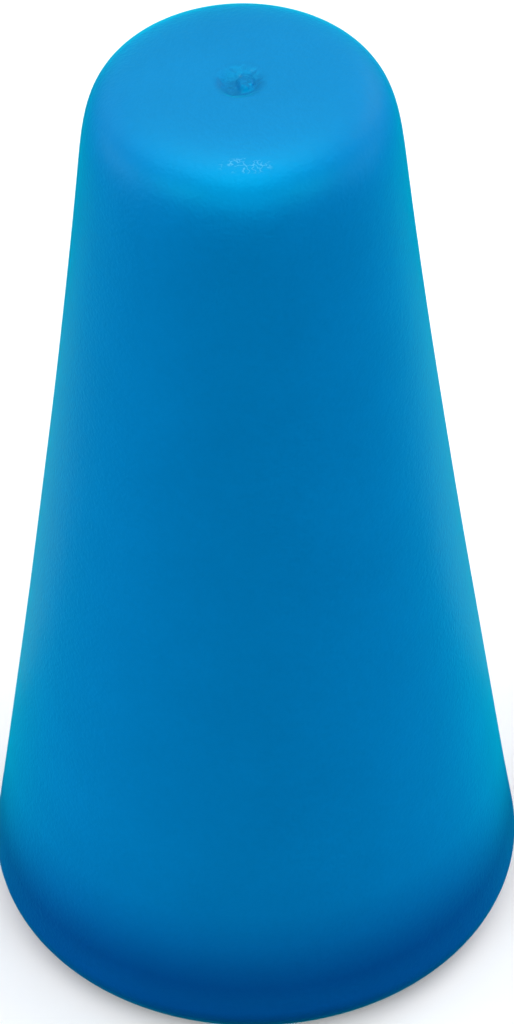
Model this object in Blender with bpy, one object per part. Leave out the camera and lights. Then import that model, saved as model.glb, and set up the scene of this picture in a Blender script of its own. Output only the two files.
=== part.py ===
"""Pipette filler bulb: a squeeze bulb of soft blue elastomer that stands on a push-in base plug.

The plug carries a silicone chuck for the pipette, a hydrophobic filter disc and a push-on
retaining cap. Frame: metres, +Z up, origin on the axis at the plane the bulb stands on.
Everything is turned about Z. At rest all the pieces are assembled; each one lifts off along +Z.
"""

import math

import bmesh
import bpy
from mathutils import Matrix, Vector

MM = 0.001
GAP = 0.3 * MM  # clearance kept between pieces that touch

# Bulb shell, outside
BULB_H = 90.0 * MM  # height over the closed end
FOOT_R = 23.0 * MM  # largest radius, just above the bench
FOOT_FILLET = 3.0 * MM
SHOULDER_Z = 80.0 * MM  # where the straight side starts to round over
SHOULDER_R = 13.58 * MM
SIDE_SLOPE_FOOT = -0.136  # dr/dz of the side at the foot
SIDE_SLOPE_TOP = -0.098  # dr/dz of the side at the shoulder, so the side flares slightly
CROWN_FLAT = 12.65 * MM  # half-width over which the closed end stays nearly flat
# Gate well in the middle of the closed end, with the broken-off gate standing in it
GATE_WELL_R = 2.15 * MM
GATE_WELL_DEPTH = 0.5 * MM
GATE_WELL_WALL = 0.9 * MM  # width over which the well's side slopes in
GATE_STUB_R = 0.5 * MM
GATE_STUB_H = 0.42 * MM
# Bulb shell, inside
WALL = 2.2 * MM
CROWN_WALL = 2.6 * MM
FOOT_BORE_R = 17.8 * MM  # bore that grips the base plug
FOOT_BORE_TOP = 9.9 * MM
FOOT_BLEND_TOP = 17.0 * MM  # the thick foot has thinned to WALL here

# Base plug
FLANGE_R = 19.0 * MM
FLANGE_T = 1.6 * MM
SKIRT_R = 17.1 * MM
SKIRT_IN_R = 15.3 * MM
SKIRT_TOP = 9.4 * MM
BARB_OUT = 0.4 * MM  # how far each sealing barb stands out from the skirt
BARB_Z = (3.0 * MM, 5.2 * MM, 7.4 * MM)
BARB_H = 1.3 * MM
BOSS_R = 9.6 * MM
BOSS_TOP = 19.0 * MM
BOSS_BORE_R = 7.3 * MM
FUNNEL_R = 9.4 * MM  # lead-in for the pipette on the underside
FUNNEL_H = 1.5 * MM
WEB_COUNT = 6
WEB_T = 1.5 * MM
WEB_TOP = 7.0 * MM
GROOVE_IN_R = 11.6 * MM  # shallow ring recess in the underside
GROOVE_OUT_R = 15.6 * MM
GROOVE_DEPTH = 0.5 * MM
NOTCH_COUNT = 3  # notches in the flange to prise the plug out of the bulb
NOTCH_R = 1.7 * MM

# Pipette chuck
CHUCK_R = 7.0 * MM
CHUCK_BOTTOM = 0.8 * MM
CHUCK_FLANGE_R = 9.3 * MM
CHUCK_FLANGE_T = 1.6 * MM
MOUTH_R = 5.5 * MM
GRIP_BOTTOM_R = 4.9 * MM
GRIP_TOP_R = 3.3 * MM
GRIP_BOTTOM = 1.9 * MM
GRIP_TOP = 15.8 * MM
RIDGE_COUNT = 4
RIDGE_IN = 0.22 * MM
AIR_HOLE_R = 1.4 * MM

# Filter disc
FILTER_R = 8.7 * MM
FILTER_T = 1.4 * MM

# Retaining cap
CAP_IN_R = 9.9 * MM
CAP_OUT_R = 11.4 * MM
CAP_SKIRT_BOTTOM = 15.4 * MM
CAP_PLATE_T = 1.5 * MM
CAP_HOLE_R = 1.15 * MM
CAP_HOLE_COUNT = 6
CAP_HOLE_RING_R = 5.2 * MM
CAP_CENTRE_HOLE_R = 1.5 * MM
CAP_FLUTE_COUNT = 18
CAP_FLUTE_R = 0.45 * MM

SHELL_STEPS = 72
BASE_STEPS = 54
CHUCK_STEPS = 36
CAP_STEPS = 48
FILTER_STEPS = 36


def clear_scene():
    for obj in list(bpy.data.objects):
        bpy.data.objects.remove(obj, do_unlink=True)


def material(name, colour, roughness, metallic=0.0):
    made = bpy.data.materials.new(name)
    made.use_nodes = True
    shader = made.node_tree.nodes["Principled BSDF"]
    shader.inputs["Base Color"].default_value = (*colour, 1.0)
    shader.inputs["Roughness"].default_value = roughness
    shader.inputs["Metallic"].default_value = metallic
    return made


def turned(name, profile, steps, mat, closed):
    """Turns a profile of (radius, height) points about Z. A closed profile is a ring;
    an open one starts and ends on the axis."""
    bm = bmesh.new()
    verts = [bm.verts.new((r, 0.0, z)) for r, z in profile]
    edges = [bm.edges.new(pair) for pair in zip(verts, verts[1:])]
    if closed:
        edges.append(bm.edges.new((verts[-1], verts[0])))
    bmesh.ops.spin(
        bm,
        geom=verts + edges,
        cent=(0, 0, 0),
        axis=(0, 0, 1),
        angle=2 * math.pi,
        steps=steps,
        use_merge=True,
    )
    bmesh.ops.remove_doubles(bm, verts=bm.verts, dist=1e-6)
    bmesh.ops.recalc_face_normals(bm, faces=bm.faces)
    mesh = bpy.data.meshes.new(name)
    bm.to_mesh(mesh)
    bm.free()
    mesh.shade_smooth()
    mesh.set_sharp_from_angle(angle=math.radians(35))
    mesh.materials.append(mat)
    obj = bpy.data.objects.new(name, mesh)
    bpy.context.scene.collection.objects.link(obj)
    return obj


def helper(name, mesh_maker):
    """A cutter or an adder for a Boolean: never shown, never a node."""
    bm = bmesh.new()
    mesh_maker(bm)
    bmesh.ops.recalc_face_normals(bm, faces=bm.faces)
    mesh = bpy.data.meshes.new(name)
    bm.to_mesh(mesh)
    bm.free()
    obj = bpy.data.objects.new(name, mesh)
    bpy.context.scene.collection.objects.link(obj)
    obj.hide_render = True
    obj.display_type = "WIRE"
    return obj


def boolean(obj, other, operation):
    mod = obj.modifiers.new(other.name, "BOOLEAN")
    mod.object = other
    mod.operation = operation
    mod.solver = "EXACT"


def bezier(p0, p1, p2, p3, t):
    u = 1 - t
    return tuple(
        u**3 * a + 3 * u * u * t * b + 3 * u * t * t * c + t**3 * d
        for a, b, c, d in zip(p0, p1, p2, p3)
    )


def side_start():
    """Where the foot fillet runs out into the side, and the fillet's end angle."""
    angle = math.atan(-SIDE_SLOPE_FOOT)
    return (
        FOOT_R - FOOT_FILLET + FOOT_FILLET * math.cos(angle),
        FOOT_FILLET + FOOT_FILLET * math.sin(angle),
        angle,
    )


def side_radius(z):
    """The side's outer radius at height z: a cubic between the two end slopes."""
    r0, z0, _ = side_start()
    span = SHOULDER_Z - z0
    t = (z - z0) / span
    return (
        (2 * t**3 - 3 * t**2 + 1) * r0
        + (t**3 - 2 * t**2 + t) * span * SIDE_SLOPE_FOOT
        + (-2 * t**3 + 3 * t**2) * SHOULDER_R
        + (t**3 - t**2) * span * SIDE_SLOPE_TOP
    )


def closed_end(t):
    """The rounded closed end, from the shoulder at t = 0 to the axis at t = 1."""
    rise = BULB_H - SHOULDER_Z
    return bezier(
        (SHOULDER_R, SHOULDER_Z),
        (SHOULDER_R + rise * SIDE_SLOPE_TOP, BULB_H),
        (CROWN_FLAT, BULB_H),
        (0.0, BULB_H),
        t,
    )


def gate_drop(r):
    """How far the gate well, less its stub, lowers the crown at radius r."""

    def ease(x):
        x = min(max(x, 0.0), 1.0)
        return x * x * (3 - 2 * x)

    well = GATE_WELL_DEPTH * ease((GATE_WELL_R - r) / GATE_WELL_WALL)
    return well - GATE_STUB_H * ease((GATE_STUB_R + 0.1 * MM - r) / (0.4 * MM))


def shell_profile():
    _, z0, _ = side_start()
    outer = []
    for i in range(6):  # foot fillet, from the bench up to the widest point
        a = -math.pi / 2 * (1 - i / 5)
        outer.append(
            (
                FOOT_R - FOOT_FILLET + FOOT_FILLET * math.cos(a),
                FOOT_FILLET + FOOT_FILLET * math.sin(a),
            )
        )
    for i in range(7):
        z = z0 + (SHOULDER_Z - z0) * i / 7
        outer.append((side_radius(z), z))
    steps = 11
    for i in range(steps):
        r, z = closed_end(0.96 * i / steps)
        if r > GATE_WELL_R * 1.3:
            outer.append((r, z))
    for r in (
        GATE_WELL_R,
        GATE_WELL_R - 0.3 * GATE_WELL_WALL,
        GATE_WELL_R - 0.65 * GATE_WELL_WALL,
        GATE_WELL_R - GATE_WELL_WALL,
        GATE_STUB_R + 0.1 * MM,
        GATE_STUB_R - 0.15 * MM,
        0.0,
    ):
        outer.append((r, BULB_H - gate_drop(r)))

    inner = [(0.0, BULB_H - CROWN_WALL)]
    for i in range(6, -1, -1):  # the closed end again, one wall thickness further in
        t = i / 7
        (r1, z1), (r2, z2) = closed_end(max(t - 0.01, 0.0)), closed_end(t + 0.01)
        r, z = closed_end(t)
        n = Vector((z2 - z1, r1 - r2)).normalized()
        thick = WALL + (CROWN_WALL - WALL) * t
        inner.append((r - n.x * thick, z - n.y * thick))
    lowest = FOOT_BLEND_TOP
    for i in range(1, 6):
        z = SHOULDER_Z + (lowest - SHOULDER_Z) * i / 5
        inner.append((side_radius(z) - WALL, z))
    inner.append((FOOT_BORE_R + 0.45 * MM, FOOT_BORE_TOP + 2.8 * MM))
    inner.append((FOOT_BORE_R, FOOT_BORE_TOP + 0.6 * MM))
    counterbore = FLANGE_R + GAP
    inner.append((FOOT_BORE_R, FLANGE_T + GAP))
    inner.append((counterbore, FLANGE_T + GAP))
    inner.append((counterbore, 0.0))
    return inner, outer


def bulb_shell(mat):
    inner, outer = shell_profile()
    # from the crown's outside down to the bench, then up the inside to the crown again
    profile = outer[::-1] + inner[::-1]
    return turned("bulb_shell", profile, SHELL_STEPS, mat, closed=False)


def base_plug(mat):
    profile = [
        (FUNNEL_R, 0.0),
        (GROOVE_IN_R, 0.0),
        (GROOVE_IN_R + 0.3 * MM, GROOVE_DEPTH),
        (GROOVE_OUT_R - 0.3 * MM, GROOVE_DEPTH),
        (GROOVE_OUT_R, 0.0),
        (FLANGE_R - 0.3 * MM, 0.0),
        (FLANGE_R, 0.3 * MM),
        (FLANGE_R, FLANGE_T),
        (SKIRT_R, FLANGE_T),
    ]
    for z in BARB_Z:
        profile += [
            (SKIRT_R, z),
            (SKIRT_R + BARB_OUT, z + 0.25 * MM),
            (SKIRT_R, z + BARB_H),
        ]
    profile += [
        (SKIRT_R - 0.4 * MM, SKIRT_TOP),
        (SKIRT_IN_R, SKIRT_TOP),
        (SKIRT_IN_R, FLANGE_T + 0.6 * MM),
        (SKIRT_IN_R - 0.6 * MM, FLANGE_T),
        (BOSS_R + 0.6 * MM, FLANGE_T),
        (BOSS_R, FLANGE_T + 0.6 * MM),
        (BOSS_R, BOSS_TOP - 0.5 * MM),
        (BOSS_R - 0.4 * MM, BOSS_TOP),
        (BOSS_BORE_R, BOSS_TOP),
        (BOSS_BORE_R, FUNNEL_H),
    ]
    plug = turned("base_plug", profile, BASE_STEPS, mat, closed=True)

    def webs(bm):
        inner, outer = BOSS_R - 0.7 * MM, SKIRT_IN_R + 0.7 * MM
        for k in range(WEB_COUNT):
            made = bmesh.ops.create_cube(bm, size=1.0)["verts"]
            bmesh.ops.scale(
                bm,
                vec=(outer - inner, WEB_T, WEB_TOP - FLANGE_T + 0.5 * MM),
                verts=made,
            )
            bmesh.ops.translate(
                bm,
                vec=((outer + inner) / 2, 0, (WEB_TOP + FLANGE_T - 0.5 * MM) / 2),
                verts=made,
            )
            bmesh.ops.rotate(
                bm,
                cent=(0, 0, 0),
                matrix=Matrix.Rotation(
                    2 * math.pi * (k + 0.5) / WEB_COUNT, 3, "Z"
                ),
                verts=made,
            )

    def notches(bm):
        for k in range(NOTCH_COUNT):
            made = bmesh.ops.create_cone(
                bm,
                cap_ends=True,
                segments=16,
                radius1=NOTCH_R,
                radius2=NOTCH_R,
                depth=2 * (FLANGE_T - 0.5 * MM),
            )["verts"]
            a = 2 * math.pi * k / NOTCH_COUNT + math.pi / 2
            bmesh.ops.translate(
                bm,
                vec=(FLANGE_R * math.cos(a), FLANGE_R * math.sin(a), 0),
                verts=made,
            )

    boolean(plug, helper("web_adder", webs), "UNION")
    boolean(plug, helper("notch_cutter", notches), "DIFFERENCE")
    return plug


def grip_radius(z):
    """The chuck's tapered bore."""
    t = (z - GRIP_BOTTOM) / (GRIP_TOP - GRIP_BOTTOM)
    return GRIP_BOTTOM_R + (GRIP_TOP_R - GRIP_BOTTOM_R) * t


def pipette_chuck(mat):
    flange_bottom = BOSS_TOP + GAP
    flange_top = flange_bottom + CHUCK_FLANGE_T
    profile = [
        (MOUTH_R, CHUCK_BOTTOM),
        (CHUCK_R - 0.5 * MM, CHUCK_BOTTOM),
        (CHUCK_R, CHUCK_BOTTOM + 0.5 * MM),
        (CHUCK_R, flange_bottom),
        (CHUCK_FLANGE_R - 0.3 * MM, flange_bottom),
        (CHUCK_FLANGE_R, flange_bottom + 0.3 * MM),
        (CHUCK_FLANGE_R, flange_top - 0.3 * MM),
        (CHUCK_FLANGE_R - 0.3 * MM, flange_top),
        (AIR_HOLE_R + 1.6 * MM, flange_top),
        (AIR_HOLE_R, flange_top - 1.0 * MM),
        (AIR_HOLE_R, GRIP_TOP + 0.2 * MM),
        (GRIP_TOP_R - 0.4 * MM, GRIP_TOP),
        (GRIP_TOP_R, GRIP_TOP - 0.4 * MM),
    ]
    pitch = (GRIP_TOP - GRIP_BOTTOM) / RIDGE_COUNT
    for k in range(RIDGE_COUNT - 1, -1, -1):
        z = GRIP_BOTTOM + (k + 0.45) * pitch
        profile += [
            (grip_radius(z + 0.9 * MM), z + 0.9 * MM),
            (grip_radius(z) - RIDGE_IN, z),
            (grip_radius(z - 0.5 * MM), z - 0.5 * MM),
        ]
    profile.append((GRIP_BOTTOM_R, GRIP_BOTTOM))
    return turned("pipette_chuck", profile, CHUCK_STEPS, mat, closed=True)


def filter_disc(mat):
    bottom = BOSS_TOP + GAP + CHUCK_FLANGE_T + GAP
    top = bottom + FILTER_T
    profile = [
        (0.0, bottom),
        (FILTER_R - 0.2 * MM, bottom),
        (FILTER_R, bottom + 0.2 * MM),
        (FILTER_R, top - 0.2 * MM),
        (FILTER_R - 0.2 * MM, top),
        (0.0, top),
    ]
    return turned("filter_disc", profile, FILTER_STEPS, mat, closed=False)


def retaining_cap(mat):
    plate = BOSS_TOP + GAP + CHUCK_FLANGE_T + GAP + FILTER_T + GAP
    top = plate + CAP_PLATE_T
    profile = [
        (0.0, plate),
        (CAP_IN_R - 0.5 * MM, plate),
        (CAP_IN_R, plate - 0.5 * MM),
        (CAP_IN_R, CAP_SKIRT_BOTTOM + 0.5 * MM),
        (CAP_IN_R + 0.4 * MM, CAP_SKIRT_BOTTOM),
        (CAP_OUT_R - 0.3 * MM, CAP_SKIRT_BOTTOM),
        (CAP_OUT_R, CAP_SKIRT_BOTTOM + 0.3 * MM),
        (CAP_OUT_R, top - 0.7 * MM),
        (CAP_OUT_R - 0.7 * MM, top),
        (0.0, top),
    ]
    cap = turned("retaining_cap", profile, CAP_STEPS, mat, closed=False)

    def holes(bm):
        for k in range(CAP_HOLE_COUNT + 1):
            ring = k < CAP_HOLE_COUNT
            radius = CAP_HOLE_R if ring else CAP_CENTRE_HOLE_R
            made = bmesh.ops.create_cone(
                bm,
                cap_ends=True,
                segments=14,
                radius1=radius,
                radius2=radius,
                depth=3 * CAP_PLATE_T,
            )["verts"]
            a = 2 * math.pi * k / CAP_HOLE_COUNT
            at = CAP_HOLE_RING_R if ring else 0.0
            bmesh.ops.translate(
                bm,
                vec=(at * math.cos(a), at * math.sin(a), (plate + top) / 2),
                verts=made,
            )

    def flutes(bm):
        for k in range(CAP_FLUTE_COUNT):
            made = bmesh.ops.create_cone(
                bm,
                cap_ends=True,
                segments=8,
                radius1=CAP_FLUTE_R,
                radius2=CAP_FLUTE_R,
                depth=30 * MM,
            )["verts"]
            a = 2 * math.pi * (k + 0.5) / CAP_FLUTE_COUNT
            bmesh.ops.translate(
                bm,
                vec=(
                    (CAP_OUT_R + 0.1 * MM) * math.cos(a),
                    (CAP_OUT_R + 0.1 * MM) * math.sin(a),
                    plate,
                ),
                verts=made,
            )

    boolean(cap, helper("air_hole_cutter", holes), "DIFFERENCE")
    boolean(cap, helper("grip_flute_cutter", flutes), "DIFFERENCE")
    return cap


def main():
    clear_scene()
    elastomer = material("bulb_elastomer", (0.0, 0.25, 0.58), 0.5)
    plastic = material("plug_plastic", (0.01, 0.10, 0.30), 0.45)
    silicone = material("chuck_silicone", (0.72, 0.76, 0.78), 0.5)
    porous = material("filter_porous", (0.86, 0.86, 0.84), 0.9)
    cap_plastic = material("cap_plastic", (0.01, 0.12, 0.36), 0.4)

    frame = bpy.data.objects.new("bulb_axis", None)
    bpy.context.scene.collection.objects.link(frame)
    for obj in (
        base_plug(plastic),
        bulb_shell(elastomer),
        pipette_chuck(silicone),
        filter_disc(porous),
        retaining_cap(cap_plastic),
    ):
        obj.parent = frame


main()
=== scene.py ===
import math

import bmesh
import bpy
from mathutils import Matrix, Vector, noise


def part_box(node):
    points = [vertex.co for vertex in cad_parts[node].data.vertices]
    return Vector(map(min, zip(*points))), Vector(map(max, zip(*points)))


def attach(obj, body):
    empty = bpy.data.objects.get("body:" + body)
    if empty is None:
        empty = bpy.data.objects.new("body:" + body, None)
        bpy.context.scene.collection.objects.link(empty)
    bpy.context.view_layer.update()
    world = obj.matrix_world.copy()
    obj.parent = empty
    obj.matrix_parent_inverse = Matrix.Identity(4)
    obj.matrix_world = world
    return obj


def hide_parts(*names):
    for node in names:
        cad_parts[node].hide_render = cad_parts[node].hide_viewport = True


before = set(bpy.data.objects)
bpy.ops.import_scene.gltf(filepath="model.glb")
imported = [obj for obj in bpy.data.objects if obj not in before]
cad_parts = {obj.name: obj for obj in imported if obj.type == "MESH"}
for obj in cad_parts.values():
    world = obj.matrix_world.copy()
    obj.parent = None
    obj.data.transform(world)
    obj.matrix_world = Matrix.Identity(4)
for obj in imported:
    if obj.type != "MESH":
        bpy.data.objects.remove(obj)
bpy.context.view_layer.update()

MM = 0.001

# ---------------------------------------------------------------- the bulb's shape, as the CAD has it
BULB_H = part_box("bulb_shell")[1].z
FOOT_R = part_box("bulb_shell")[1].x - 0.004 * MM
FOOT_FILLET = 3.0 * MM
SHOULDER_Z = 80.0 * MM
SHOULDER_R = 13.58 * MM
SIDE_SLOPE_FOOT = -0.136
SIDE_SLOPE_TOP = -0.098
CROWN_FLAT = 12.65 * MM
GATE_WELL_R = 2.3 * MM
GATE_WELL_DEPTH = 0.42 * MM
GATE_WELL_WALL = 1.5 * MM
GATE_STUB_R = 0.5 * MM
GATE_STUB_H = 0.42 * MM
WALL = 2.2 * MM
CROWN_WALL = 2.6 * MM


def foot_end():
    angle = math.atan(-SIDE_SLOPE_FOOT)
    return (
        FOOT_R - FOOT_FILLET + FOOT_FILLET * math.cos(angle),
        FOOT_FILLET + FOOT_FILLET * math.sin(angle),
        angle,
    )


def side_radius(z):
    r0, z0, _ = foot_end()
    span = SHOULDER_Z - z0
    t = (z - z0) / span
    return (
        (2 * t**3 - 3 * t**2 + 1) * r0
        + (t**3 - 2 * t**2 + t) * span * SIDE_SLOPE_FOOT
        + (-2 * t**3 + 3 * t**2) * SHOULDER_R
        + (t**3 - t**2) * span * SIDE_SLOPE_TOP
    )


def closed_end(t):
    rise = BULB_H - SHOULDER_Z
    p = (
        (SHOULDER_R, SHOULDER_Z),
        (SHOULDER_R + rise * SIDE_SLOPE_TOP, BULB_H),
        (CROWN_FLAT, BULB_H),
        (0.0, BULB_H),
    )
    u = 1 - t
    k = (u**3, 3 * u * u * t, 3 * u * t * t, t**3)
    return sum(a * q[0] for a, q in zip(k, p)), sum(a * q[1] for a, q in zip(k, p))


def ease(x):
    x = min(max(x, 0.0), 1.0)
    return x * x * (3 - 2 * x)


# ---------------------------------------------------------------- mesh tools
def link(obj):
    bpy.context.scene.collection.objects.link(obj)
    return obj


def rounded(points, radius, steps=4, closed=True):
    """The profile with each corner turned into a small arc. A point may carry its own radius."""
    pts = [(p[0], p[1], p[2] if len(p) > 2 else radius) for p in points]
    n = len(pts)
    out = []
    for i, (x, y, r) in enumerate(pts):
        here = Vector((x, y))
        if not closed and i in (0, n - 1) or r <= 0:
            out.append((x, y))
            continue
        a, b = Vector(pts[i - 1][:2]), Vector(pts[(i + 1) % n][:2])
        da, db = a - here, b - here
        if da.length < 1e-9 or db.length < 1e-9 or da.angle(db) > math.radians(172):
            out.append((x, y))
            continue
        cut = min(r / math.tan(da.angle(db) / 2), da.length * 0.45, db.length * 0.45)
        p, q = here + da.normalized() * cut, here + db.normalized() * cut
        for k in range(steps + 1):
            t = k / steps
            m = p * (1 - t) ** 2 + here * 2 * t * (1 - t) + q * t * t
            out.append((m.x, m.y))
    return out


def densified(points, longest, closed=True):
    out = []
    pairs = list(zip(points, points[1:] + points[:1])) if closed else list(zip(points, points[1:]))
    for (x0, y0), (x1, y1) in pairs:
        n = max(1, math.ceil(math.hypot(x1 - x0, y1 - y0) / longest))
        out += [(x0 + (x1 - x0) * k / n, y0 + (y1 - y0) * k / n) for k in range(n)]
    if not closed:
        out.append(points[-1])
    return out


def turned_mesh(name, profile, steps, closed):
    """A surface turned about Z from (radius, height) points, as quads; an open profile ends on the axis."""
    bm = bmesh.new()
    rings = []
    for r, z in profile:
        if r < 1e-7:
            rings.append([bm.verts.new((0, 0, z))])
        else:
            rings.append(
                [
                    bm.verts.new(
                        (
                            r * math.cos(2 * math.pi * k / steps),
                            r * math.sin(2 * math.pi * k / steps),
                            z,
                        )
                    )
                    for k in range(steps)
                ]
            )
    pairs = list(zip(rings, rings[1:]))
    if closed:
        pairs.append((rings[-1], rings[0]))
    for lower, upper in pairs:
        for k in range(steps):
            j = (k + 1) % steps
            if len(lower) == 1:
                bm.faces.new((lower[0], upper[j], upper[k]))
            elif len(upper) == 1:
                bm.faces.new((lower[k], lower[j], upper[0]))
            else:
                bm.faces.new((lower[k], lower[j], upper[j], upper[k]))
    bmesh.ops.recalc_face_normals(bm, faces=bm.faces)
    mesh = bpy.data.meshes.new(name)
    bm.to_mesh(mesh)
    bm.free()
    return mesh


def turned(name, profile, steps, mat, closed=True, sharp=40):
    mesh = turned_mesh(name, profile, steps, closed)
    mesh.shade_smooth()
    mesh.set_sharp_from_angle(angle=math.radians(sharp))
    mesh.materials.append(mat)
    return link(bpy.data.objects.new(name, mesh))


def cut_by(obj, makers):
    """Booleans applied straight away: each maker fills a bmesh with the tool's shape."""
    for operation, maker in makers:
        bm = bmesh.new()
        maker(bm)
        bmesh.ops.recalc_face_normals(bm, faces=bm.faces)
        mesh = bpy.data.meshes.new("tool")
        bm.to_mesh(mesh)
        bm.free()
        tool = link(bpy.data.objects.new("tool", mesh))
        mod = obj.modifiers.new("cut", "BOOLEAN")
        mod.object, mod.operation, mod.solver = tool, operation, "EXACT"
        bpy.context.view_layer.update()
        dg = bpy.context.evaluated_depsgraph_get()
        made = bpy.data.meshes.new_from_object(obj.evaluated_get(dg))
        obj.modifiers.clear()
        obj.data = made
        bpy.data.objects.remove(tool, do_unlink=True)
    return obj


def softened(obj, width, angle=35):
    """A small round on the edges the cuts left."""
    mod = obj.modifiers.new("edge_round", "BEVEL")
    mod.width, mod.segments = width, 2
    mod.limit_method, mod.angle_limit = "ANGLE", math.radians(angle)
    mod.use_clamp_overlap = True
    mod.harden_normals = False
    obj.data.shade_smooth()
    obj.data.set_sharp_from_angle(angle=math.radians(50))
    return obj


def disc_tool(bm, x, y, z0, z1, radius, segments=32):
    made = bmesh.ops.create_cone(
        bm, cap_ends=True, segments=segments, radius1=radius, radius2=radius, depth=z1 - z0
    )["verts"]
    bmesh.ops.translate(bm, vec=(x, y, (z0 + z1) / 2), verts=made)
    return made


# ---------------------------------------------------------------- materials
class Nodes:
    """A short way to write a node tree."""

    def __init__(self, name):
        self.mat = bpy.data.materials.new(name)
        self.mat.use_nodes = True
        self.tree = self.mat.node_tree
        self.shader = self.tree.nodes["Principled BSDF"]

    def add(self, kind, **values):
        node = self.tree.nodes.new(kind)
        for key, value in values.items():
            if hasattr(node, key):
                setattr(node, key, value)
            else:
                node.inputs[key.replace("_", " ")].default_value = value
        return node

    def join(self, a, b):
        self.tree.links.new(a, b)
        return self

    def set(self, **values):
        for key, value in values.items():
            self.shader.inputs[key.replace("_", " ")].default_value = value
        return self

    def coords(self):
        return self.add("ShaderNodeTexCoord").outputs["Object"]

    def noise(self, vector, scale, detail=3.0, rough=0.5):
        n = self.add("ShaderNodeTexNoise", Scale=scale, Detail=detail, Roughness=rough)
        self.join(vector, n.inputs["Vector"])
        return n.outputs["Fac"]

    def voronoi(self, vector, scale, feature="F1"):
        n = self.add("ShaderNodeTexVoronoi", Scale=scale)
        n.feature = feature
        self.join(vector, n.inputs["Vector"])
        return n.outputs["Distance"]

    def ramp(self, value, stops, interpolation="LINEAR"):
        n = self.add("ShaderNodeValToRGB")
        n.color_ramp.interpolation = interpolation
        e = n.color_ramp.elements
        while len(e) > 1:
            e.remove(e[-1])
        e[0].position, e[0].color = stops[0][0], self.rgba(stops[0][1])
        for p, c in stops[1:]:
            e.new(p).color = self.rgba(c)
        self.join(value, n.inputs["Fac"])
        return n.outputs["Color"]

    @staticmethod
    def rgba(c):
        return (c, c, c, 1.0) if isinstance(c, (int, float)) else (*c, 1.0)

    def spread(self, value, lo, hi, out_lo, out_hi):
        n = self.add("ShaderNodeMapRange")
        self.join(value, n.inputs["Value"])
        for key, v in (("From Min", lo), ("From Max", hi), ("To Min", out_lo), ("To Max", out_hi)):
            n.inputs[key].default_value = v
        return n.outputs["Result"]

    def math(self, op, a, b):
        n = self.add("ShaderNodeMath")
        n.operation = op
        for i, v in enumerate((a, b)):
            if isinstance(v, (int, float)):
                n.inputs[i].default_value = v
            else:
                self.join(v, n.inputs[i])
        return n.outputs["Value"]

    def tint(self, colour, factor):
        """colour times a grey factor"""
        n = self.add("ShaderNodeVectorMath")
        n.operation = "SCALE"
        self.join(colour, n.inputs[0]) if not isinstance(colour, tuple) else None
        if isinstance(colour, tuple):
            n.inputs[0].default_value = colour
        self.join(factor, n.inputs["Scale"])
        return n.outputs["Vector"]

    def parts(self, vector):
        n = self.add("ShaderNodeSeparateXYZ")
        self.join(vector, n.inputs[0])
        return n.outputs["X"], n.outputs["Y"], n.outputs["Z"]

    def plus(self, a, b):
        n = self.add("ShaderNodeVectorMath")
        n.operation = "ADD"
        self.join(a, n.inputs[0]).join(b, n.inputs[1])
        return n.outputs["Vector"]

    def patch(self, x, y, centre, half):
        """1 inside an oval on the crown, fading to 0 at its edge; centre and half-widths in mm"""
        dx = self.math("DIVIDE", self.math("SUBTRACT", x, centre[0] * MM), half[0] * MM)
        dy = self.math("DIVIDE", self.math("SUBTRACT", y, centre[1] * MM), half[1] * MM)
        d = self.math("ADD", self.math("MULTIPLY", dx, dx), self.math("MULTIPLY", dy, dy))
        return self.spread(d, 0.5, 1.15, 1.0, 0.0)

    def bump(self, height, distance, strength=1.0, normal=None):
        n = self.add("ShaderNodeBump", Strength=strength, Distance=distance)
        self.join(height, n.inputs["Height"])
        if normal is not None:
            self.join(normal, n.inputs["Normal"])
        return n.outputs["Normal"]


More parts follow.
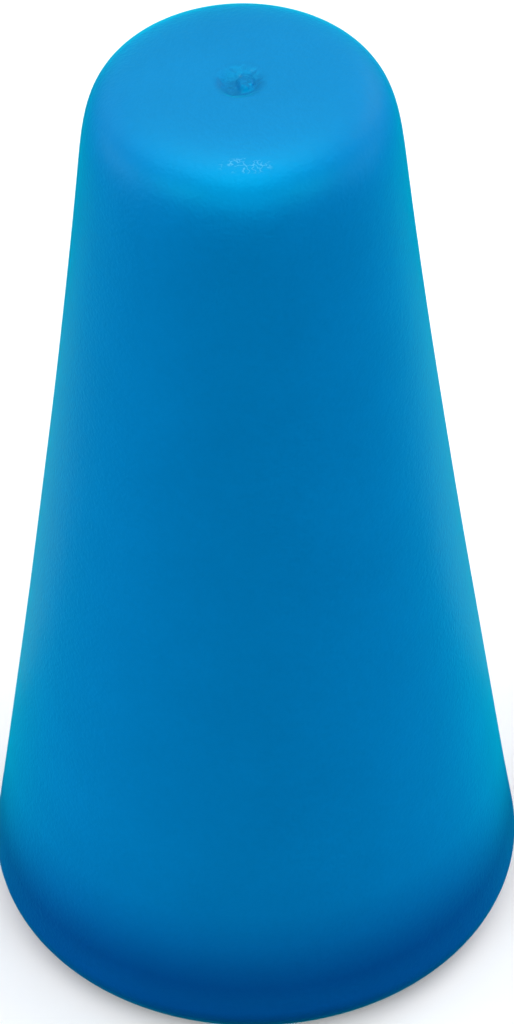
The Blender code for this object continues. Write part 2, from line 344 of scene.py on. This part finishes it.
def elastomer():
    m = Nodes("bulb_elastomer")
    m.set(
        Specular_IOR_Level=0.5,
        Specular_Tint=(0.0, 0.747, 0.825, 1.0),
        Sheen_Roughness=0.4,
        Sheen_Tint=(0.0, 0.79, 1.0, 1.0),
    )
    at = m.coords()
    x, y, z = m.parts(at)
    # along the height: darker towards the bottom, painted shade where the bulb stands on the floor, with a
    # slightly paler painted lip of light just above the edge; the lowest part also carries less sheen
    heights = m.spread(z, 0.0, BULB_H, 0.0, 1.0)
    painted_foot_shade_and_sheen = (
        (0.0, 0.20, 0.40, 0.30),
        (1.5, 0.25, 0.50, 0.30),
        (3.0, 0.37, 0.608, 0.315),
        (4.5, 0.353, 0.57, 0.38),
        (6.0, 0.29, 0.531, 0.423),
        (8.0, 0.431, 0.641, 0.59),
        (10.5, 0.668, 0.813, 0.78),
        (14.0, 0.922, 0.96, 0.955),
        (20.0, 1.0, 1.0, 1.0),
    )
    # the green and blue columns scale the base colour down near the floor: painted shade
    body = m.ramp(heights, [(h / 90, (0.0, 0.165 * g, 0.47 * b)) for h, g, b, _ in painted_foot_shade_and_sheen])
    haze = m.ramp(heights, [(h / 90, s) for h, _, _, s in painted_foot_shade_and_sheen])
    # the torn gate in the crown carries less sheen than the eroded skin round it, and its base colour is darkened
    # a little further down as painted shade in the dish
    reach = m.math("SQRT", m.math("ADD", m.math("MULTIPLY", x, x), m.math("MULTIPLY", y, y)), 0.0)
    gate = m.math(
        "MULTIPLY",
        m.spread(reach, 1.5 * MM, 2.4 * MM, 1.0, 0.0),
        m.spread(z, BULB_H - 3 * MM, BULB_H - 2 * MM, 0.0, 1.0),
    )
    m.join(m.math("MULTIPLY", haze, m.spread(gate, 0.0, 1.0, 1.0, 0.35)), m.shader.inputs["Sheen Weight"])
    # polished crests of the grain with a painted highlight: thin crooked pale lines on the shoulder, and a few in
    # the gate, that lower the roughness and are added to the base colour as painted glints
    vein = m.math("ABSOLUTE", m.math("SUBTRACT", m.noise(at, 2300, 1.5, 0.5), 0.5), 0.0)
    line = m.math(
        "MULTIPLY", m.spread(vein, 0.02, 0.05, 1.0, 0.0), m.spread(m.noise(at, 950, 1, 0.5), 0.44, 0.5, 0.0, 1.0)
    )
    shoulder_glint_patch = m.patch(x, y, (0.3, -9.75), (2.2, 0.72))
    gate_glint_patch = m.patch(x, y, (0.25, 1.25), (0.9, 0.6))
    polish_and_painted_glint = m.math(
        "MULTIPLY",
        line,
        m.math("MULTIPLY", m.math("MAXIMUM", shoulder_glint_patch, gate_glint_patch), m.spread(z, BULB_H - 1.6 * MM, BULB_H - 1.3 * MM, 0.0, 1.0)),
    )
    cloud = m.noise(at, 160, 3, 0.55)
    fleck = m.noise(at, 1500, 2, 0.5)
    shade = m.math(
        "ADD", m.spread(cloud, 0.3, 0.7, 0.975, 1.02), m.spread(fleck, 0.3, 0.7, -0.018, 0.018)
    )
    # inside the gate well the base colour is darkened by a tenth: painted shade in the recess
    skin = m.tint(body, m.math("MULTIPLY", shade, m.spread(gate, 0.0, 1.0, 1.0, 0.9)))
    # the pale lines added to the base colour here are a painted highlight
    m.join(m.plus(skin, m.tint((0.05, 0.07, 0.06), polish_and_painted_glint)), m.shader.inputs["Base Color"])
    # eroded mould grain: pits about 0.3 mm apart, over a softer swell
    pits = m.noise(at, 3300, 2, 0.55)
    grain = m.math(
        "ADD", m.math("MULTIPLY", pits, 0.7), m.math("MULTIPLY", m.voronoi(at, 2600, "SMOOTH_F1"), 0.3)
    )
    swell = m.noise(at, 420, 2, 0.5)
    torn = m.math("MULTIPLY", m.noise(at, 2400, 3, 0.6), gate)
    m.join(
        m.bump(torn, 0.00012, 1.0, m.bump(grain, 0.00005, 1.0, m.bump(swell, 0.00005, 0.5))),
        m.shader.inputs["Normal"],
    )
    rough = m.spread(
        m.math("ADD", m.math("MULTIPLY", cloud, 0.6), m.math("MULTIPLY", fleck, 0.4)), 0.3, 0.7, 0.43, 0.47
    )
    m.join(m.math("SUBTRACT", rough, m.math("MULTIPLY", polish_and_painted_glint, 0.12)), m.shader.inputs["Roughness"])
    return m.mat


def moulded_plastic(name, colour):
    m = Nodes(name)
    m.set(Specular_IOR_Level=0.45)
    at = m.coords()
    cloud = m.noise(at, 90, 3, 0.5)
    fine = m.noise(at, 2600, 2, 0.5)
    scuff = m.noise(at, 700, 5, 0.7)
    shade = m.math("ADD", m.spread(cloud, 0.3, 0.7, 0.93, 1.05), m.spread(scuff, 0.58, 0.75, 0.0, 0.16))
    m.join(m.tint(colour, shade), m.shader.inputs["Base Color"])
    m.join(m.spread(scuff, 0.35, 0.7, 0.36, 0.52), m.shader.inputs["Roughness"])
    m.join(m.bump(fine, 0.00002, 0.5, m.bump(scuff, 0.00003, 0.25)), m.shader.inputs["Normal"])
    return m.mat


def silicone():
    m = Nodes("chuck_silicone")
    m.set(
        Specular_IOR_Level=0.4,
        Subsurface_Weight=0.5,
        Subsurface_Radius=(1.0, 1.0, 1.0),
        Subsurface_Scale=0.0015,
    )
    at = m.coords()
    cloud = m.noise(at, 220, 3, 0.5)
    dust = m.noise(at, 2400, 3, 0.6)
    shade = m.math("ADD", m.spread(cloud, 0.3, 0.7, 0.94, 1.0), m.spread(dust, 0.6, 0.8, 0.0, 0.04))
    m.join(m.tint((0.66, 0.72, 0.74), shade), m.shader.inputs["Base Color"])
    m.join(m.spread(dust, 0.3, 0.7, 0.4, 0.55), m.shader.inputs["Roughness"])
    m.join(m.bump(dust, 0.000025, 0.6), m.shader.inputs["Normal"])
    return m.mat


def felt():
    m = Nodes("filter_porous")
    m.set(Specular_IOR_Level=0.2, Sheen_Weight=0.2)
    at = m.coords()
    stretch = m.add("ShaderNodeMapping")
    stretch.inputs["Scale"].default_value = (1.0, 6.0, 1.0)
    stretch.inputs["Rotation"].default_value = (0.0, 0.0, 0.6)
    m.join(at, stretch.inputs["Vector"])
    other = m.add("ShaderNodeMapping")
    other.inputs["Scale"].default_value = (6.0, 1.0, 1.0)
    other.inputs["Rotation"].default_value = (0.0, 0.0, -0.5)
    m.join(at, other.inputs["Vector"])
    fibre = m.math(
        "MAXIMUM",
        m.noise(stretch.outputs["Vector"], 900, 4, 0.6),
        m.noise(other.outputs["Vector"], 900, 4, 0.6),
    )
    m.join(
        m.tint((0.86, 0.86, 0.82), m.spread(fibre, 0.4, 0.7, 0.82, 1.03)),
        m.shader.inputs["Base Color"],
    )
    m.join(m.spread(fibre, 0.3, 0.7, 0.95, 0.8), m.shader.inputs["Roughness"])
    m.join(m.bump(fibre, 0.00008, 0.9), m.shader.inputs["Normal"])
    return m.mat


# ---------------------------------------------------------------- the bulb
def bulb(mat):
    foot_bore, counterbore, flange_top = 17.8 * MM, 19.3 * MM, 1.9 * MM
    _, z0, angle = foot_end()
    outer = []
    for i in range(19):
        a = -math.pi / 2 + (angle + math.pi / 2) * i / 18
        outer.append(
            (FOOT_R - FOOT_FILLET + FOOT_FILLET * math.cos(a), FOOT_FILLET + FOOT_FILLET * math.sin(a))
        )
    n = 74
    outer += [
        (side_radius(z0 + (SHOULDER_Z - z0) * i / n), z0 + (SHOULDER_Z - z0) * i / n)
        for i in range(1, n)
    ]
    i = 0
    while True:
        r, z = closed_end(i / 60)
        if r < 3.1 * MM:
            break
        outer.append((r, z))
        i += 1
    r = 3.0 * MM
    while r > 0.04 * MM:
        outer.append((r, BULB_H))
        r -= 0.1 * MM
    outer.append((0.0, BULB_H))
    inner = [(0.0, BULB_H - CROWN_WALL)]
    for i in range(19, -1, -1):
        t = i / 20
        (r1, z1), (r2, z2) = closed_end(max(t - 0.01, 0.0)), closed_end(t + 0.01)
        r, z = closed_end(t)
        d = Vector((z2 - z1, r1 - r2)).normalized()
        thick = WALL + (CROWN_WALL - WALL) * t
        inner.append((r - d.x * thick, z - d.y * thick))
    for i in range(1, 21):
        z = SHOULDER_Z + (17.0 * MM - SHOULDER_Z) * i / 20
        inner.append((side_radius(z) - WALL, z))
    lip = rounded(
        [
            inner[-1],
            (foot_bore + 0.45 * MM, 12.7 * MM, 2 * MM),
            (foot_bore, 10.5 * MM, 2 * MM),
            (foot_bore, flange_top, 0.25 * MM),
            (counterbore, flange_top, 0.15 * MM),
            (counterbore, 0.0, 0.2 * MM),
            (outer[0][0], 0.0),
        ],
        0.2 * MM,
        closed=False,
    )
    inner += lip[1:-1]
    obj = turned("bulb_skin", outer[::-1] + inner[::-1], 224, mat, closed=False, sharp=60)
    mesh = obj.data
    for v in mesh.vertices:
        x, y, z = v.co
        r = math.hypot(x, y)
        if z > BULB_H - 1.0 * MM and r < 3.2 * MM:
            # the gate well: a slightly oval dish with a torn stub left in it
            a = math.atan2(y, x)
            edge = GATE_WELL_R * (1 + 0.02 * math.sin(2 * a + 0.6) + 0.012 * math.sin(5 * a))
            wall = GATE_WELL_WALL * (1 + 0.38 * math.cos(a - 1.05))
            depth = GATE_WELL_DEPTH * ease((edge - r) / wall)
            dx, dy = x - 0.42 * MM, y + 0.12 * MM
            s = math.hypot(dx, dy * 0.75)
            torn = 1 + 0.25 * noise.noise(Vector((x, y, 0)) * 2600) + 0.15 * noise.noise(Vector((y, x, 1)) * 5200)
            stub = GATE_STUB_H * torn * ease((0.85 * MM - s) / (0.42 * MM))
            rough = 0.035 * MM * noise.noise(Vector((x, y, 3)) * 2200) * ease((edge - r) / (0.5 * MM))
            v.co.z -= max(depth - stub - rough, 0.0)
        elif r > 0.6 * FOOT_R * (1 - z / BULB_H * 0.45):
            # a moulding is never dead true: a few hundredths of a millimetre of swell
            w = noise.noise(Vector((x, y, z)) * 55) * ease((z - 2 * MM) / (8 * MM)) * ease((BULB_H - z) / (6 * MM))
            k = 1 + (0.03 * MM * w - 0.03 * MM * ease((z - 2 * MM) / (8 * MM))) / r
            v.co.x *= k
            v.co.y *= k
    return obj


# ---------------------------------------------------------------- the pieces inside
def plug(mat):
    p = [
        (9.4, 0.0), (11.6, 0.0), (11.9, 0.5), (15.3, 0.5), (15.6, 0.0), (19.0, 0.0),
        (19.0, 1.6), (17.1, 1.6),
    ]
    for z in (3.0, 5.2, 7.4):
        p += [(17.1, z), (17.5, z + 0.25), (17.1, z + 1.3)]
    p += [
        (17.1, 9.0), (16.6, 9.4), (15.3, 9.4), (15.3, 1.6), (9.6, 1.6), (9.6, 19.0),
        (7.3, 19.0), (7.3, 1.5),
    ]
    profile = rounded([(r * MM, z * MM) for r, z in p], 0.18 * MM, 3)
    obj = turned("base_plug_moulding", densified(profile, 2.2 * MM), 144, mat)

    def webs(bm):
        for k in range(6):
            made = bmesh.ops.create_cube(bm, size=1.0)["verts"]
            bmesh.ops.scale(bm, vec=(7.1 * MM, 1.5 * MM, 5.9 * MM), verts=made)
            bmesh.ops.translate(bm, vec=(12.45 * MM, 0, 4.05 * MM), verts=made)
            bmesh.ops.rotate(
                bm, cent=(0, 0, 0), matrix=Matrix.Rotation(math.pi * (2 * k + 1) / 6, 3, "Z"), verts=made
            )

    def notches(bm):
        for k in range(3):
            a = 2 * math.pi * k / 3 + math.pi / 2
            disc_tool(bm, 19.0 * MM * math.cos(a), 19.0 * MM * math.sin(a), -1.1 * MM, 1.1 * MM, 1.7 * MM)

    cut_by(obj, [("UNION", webs), ("DIFFERENCE", notches)])
    return softened(obj, 0.12 * MM)


def chuck(mat):
    p = [
        (5.5, 0.8, 0.3), (7.0, 0.8, 0.45), (7.0, 19.3, 0.3), (9.3, 19.3, 0.3), (9.3, 20.9, 0.3),
        (3.0, 20.9, 0.2), (1.4, 19.9, 0.2), (1.4, 16.0, 0.15), (2.9, 15.8, 0.15), (3.3, 15.4, 0.15),
    ]
    bottom, top = 1.9, 15.8
    radius = lambda z: 4.9 + (3.3 - 4.9) * (z - bottom) / (top - bottom)
    pitch = (top - bottom) / 4
    for k in range(3, -1, -1):
        z = bottom + (k + 0.45) * pitch
        p += [(radius(z + 0.9), z + 0.9, 0.4), (radius(z) - 0.22, z, 0.3), (radius(z - 0.5), z - 0.5, 0.3)]
    p.append((4.9, bottom, 0.3))
    profile = rounded([(q[0] * MM, q[1] * MM, (q[2] if len(q) > 2 else 0.2) * MM) for q in p], 0.2 * MM, 5)
    return turned("chuck_sleeve", densified(profile, 1.2 * MM), 128, mat, sharp=55)


def disc(mat):
    bottom, top, r = 21.2 * MM, 22.6 * MM, 8.7 * MM
    profile = [(0.0, bottom)]
    profile += [(r * k / 14, bottom) for k in range(1, 14)]
    profile += rounded([(r * 0.95, bottom), (r, bottom, 0.25 * MM), (r, top, 0.35 * MM), (r * 0.95, top)], 0.3 * MM, 5, closed=False)[1:-1]
    profile += [(r * k / 14, top) for k in range(13, 0, -1)] + [(0.0, top)]
    obj = turned("filter_wad", profile, 128, mat, closed=False, sharp=60)
    for v in obj.data.vertices:
        if v.co.z > (bottom + top) / 2:
            v.co.z -= 0.03 * MM * (1 + noise.noise(v.co * 900))
    return obj


def cap(mat):
    plate, top = 22.9 * MM, 24.4 * MM
    p = [
        (9.9 * MM, plate, 0.4 * MM),
        (9.9 * MM, 15.9 * MM, 0.1 * MM),
        (10.3 * MM, 15.4 * MM, 0.15 * MM),
        (11.4 * MM, 15.4 * MM, 0.3 * MM),
        (11.4 * MM, top, 0.75 * MM),
        (8.4 * MM, top, 0.2 * MM),
        (8.1 * MM, top - 0.25 * MM, 0.2 * MM),
        (0.0, top - 0.25 * MM),
    ]
    profile = [(0.0, plate)] + rounded([(0.0, plate)] + p, 0.2 * MM, 5, closed=False)[1:]
    obj = turned("retaining_cap_moulding", densified(profile, 1.6 * MM, closed=False), 180, mat, closed=False)

    def holes(bm):
        for k in range(6):
            a = 2 * math.pi * k / 6
            disc_tool(bm, 5.2 * MM * math.cos(a), 5.2 * MM * math.sin(a), plate - 1 * MM, top + 1 * MM, 1.15 * MM)
        disc_tool(bm, 0, 0, plate - 1 * MM, top + 1 * MM, 1.5 * MM)

    def flutes(bm):
        for k in range(18):
            a = 2 * math.pi * (k + 0.5) / 18
            disc_tool(bm, 11.5 * MM * math.cos(a), 11.5 * MM * math.sin(a), 14 * MM, 26 * MM, 0.45 * MM, 20)

    cut_by(obj, [("DIFFERENCE", holes), ("DIFFERENCE", flutes)])
    return softened(obj, 0.1 * MM)


blue = elastomer()
for piece, body, slot_name in (
    (bulb(blue), "bulb_shell", "bulb_elastomer"),
    (plug(moulded_plastic("plug_plastic", (0.012, 0.085, 0.24))), "base_plug", "plug_plastic"),
    (chuck(silicone()), "pipette_chuck", "chuck_silicone"),
    (disc(felt()), "filter_disc", "filter_porous"),
    (cap(moulded_plastic("cap_plastic", (0.014, 0.1, 0.29))), "retaining_cap", "cap_plastic"),
):
    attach(piece, body)
    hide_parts(body)

# ---------------------------------------------------------------- floor
floor_mat = Nodes("floor")
floor_mat.set(Base_Color=(0.9, 0.9, 0.9, 1), Roughness=0.85, Specular_IOR_Level=0.0)
bpy.ops.mesh.primitive_plane_add(size=8.0, location=(0, 0, -0.00002))
floor = bpy.context.object
floor.name = "floor"
floor.data.materials.append(floor_mat.mat)
floor.visible_diffuse = False
floor.visible_glossy = False

# ---------------------------------------------------------------- light
scene = bpy.context.scene
scene.view_settings.view_transform = "Standard"
AIM = Vector((0.0, 0.0, 0.045))


def dome(strength, backdrop):
    """An even light from above the floor only, with a white backdrop behind it."""
    world = bpy.data.worlds.new("studio")
    world.use_nodes = True
    world.cycles_visibility.glossy = False
    tree = world.node_tree
    shader = tree.nodes["Background"]
    shader.inputs["Color"].default_value = (1, 1, 1, 1)
    way = tree.nodes.new("ShaderNodeTexCoord")
    split = tree.nodes.new("ShaderNodeSeparateXYZ")
    upper = tree.nodes.new("ShaderNodeMapRange")
    upper.inputs["From Min"].default_value, upper.inputs["From Max"].default_value = -0.001, 0.001
    upper.inputs["To Min"].default_value, upper.inputs["To Max"].default_value = 0.0, strength
    path = tree.nodes.new("ShaderNodeLightPath")
    pick = tree.nodes.new("ShaderNodeMix")
    pick.data_type = "FLOAT"
    pick.inputs[3].default_value = backdrop
    tree.links.new(way.outputs["Generated"], split.inputs[0])
    tree.links.new(split.outputs["Z"], upper.inputs["Value"])
    tree.links.new(path.outputs["Is Camera Ray"], pick.inputs[0])
    tree.links.new(upper.outputs["Result"], pick.inputs[2])
    tree.links.new(pick.outputs[0], shader.inputs["Strength"])
    scene.world = world


def softbox(name, turn, rise, width, height, power, kind="both", aim=AIM, away=0.6):
    """A panel round the object: turn is from the front towards +X, rise above the horizon, in degrees."""
    data = bpy.data.lights.new(name, "AREA")
    data.shape, data.size, data.size_y, data.energy = "RECTANGLE", width, height, power
    obj = link(bpy.data.objects.new(name, data))
    t, e = math.radians(turn), math.radians(rise)
    at = Vector((math.sin(t) * math.cos(e), -math.cos(t) * math.cos(e), math.sin(e))) * away + AIM
    obj.location = at
    obj.rotation_mode = "QUATERNION"
    obj.rotation_quaternion = (aim - at).to_track_quat("-Z", "Y")
    obj.visible_camera = False
    obj.visible_diffuse = kind != "gloss"
    obj.visible_glossy = kind != "fill"
    return obj


dome(1.016, 1.0)
for name, turn, rise, width, height, power, kind in (
    ("side_left", -90, 4, 0.4, 0.2, 1.87, "fill"),
    ("side_right", 90, 4, 0.4, 0.2, 1.47, "fill"),
    ("front_left", -45, 25, 0.3, 0.3, 0.53, "fill"),
    ("front_right", 45, 25, 0.3, 0.3, 0.58, "fill"),
    ("back_left", -135, 25, 0.3, 0.3, 0.24, "fill"),
    ("back_right", 135, 25, 0.3, 0.3, 1.07, "fill"),
    ("over", 0, 90, 0.4, 0.4, 3.43, "gloss"),
    ("over_front", 0, 62, 0.3, 0.3, 2.46, "gloss"),
    ("over_back", 180, 68, 0.3, 0.2, 1.0, "gloss"),
    ("low_front", 0, 18, 0.35, 0.3, 2.04, "gloss"),
    ("low_front_left", -45, 25, 0.3, 0.3, 2.15, "gloss"),
    ("low_front_right", 45, 25, 0.3, 0.3, 1.75, "gloss"),
    ("high_left", -90, 60, 0.3, 0.3, 0.83, "gloss"),
    ("high_right", 90, 60, 0.3, 0.3, 0.57, "gloss"),
    ("high_back_left", -115, 45, 0.3, 0.3, 0.59, "gloss"),
):
    softbox(name, turn, rise, width, height, power, kind)
# a white card lying behind the bulb, seen only as the pale line on its long edges
card = softbox("card", 180, 0, 0.14, 0.05, 0.0075, "gloss")
card.location = (0.0, 0.046, 0.0005)
card.rotation_quaternion = (0.0, 1.0, 0.0, 0.0)

# ---------------------------------------------------------------- camera
LONG_SIDE = 1024
ELEVATION, DISTANCE, FOCAL_PX, ROLL = math.radians(43.787), 0.644, 7567.0, -0.02022
cam_data = bpy.data.cameras.new("camera")
cam = link(bpy.data.objects.new("camera", cam_data))
target = Vector((0, 0, 0.04343))
back = Vector((0, -math.cos(ELEVATION), math.sin(ELEVATION)))
right, up = Vector((1, 0, 0)), Vector((0, math.sin(ELEVATION), math.cos(ELEVATION)))
c, s = math.cos(ROLL), math.sin(ROLL)
right, up = right * c + up * s, up * c - right * s
turn = Matrix((right, up, back)).transposed()
cam.matrix_world = Matrix.Translation(target + back * DISTANCE) @ turn.to_4x4()
cam_data.sensor_width = 36.0
cam_data.lens = 36.0 * FOCAL_PX / LONG_SIDE
cam_data.shift_x = (257.0 - 248.944) / LONG_SIDE
cam_data.shift_y = (495.951 - 512.0) / LONG_SIDE
cam_data.clip_start, cam_data.clip_end = 0.05, 20.0
scene.camera = cam
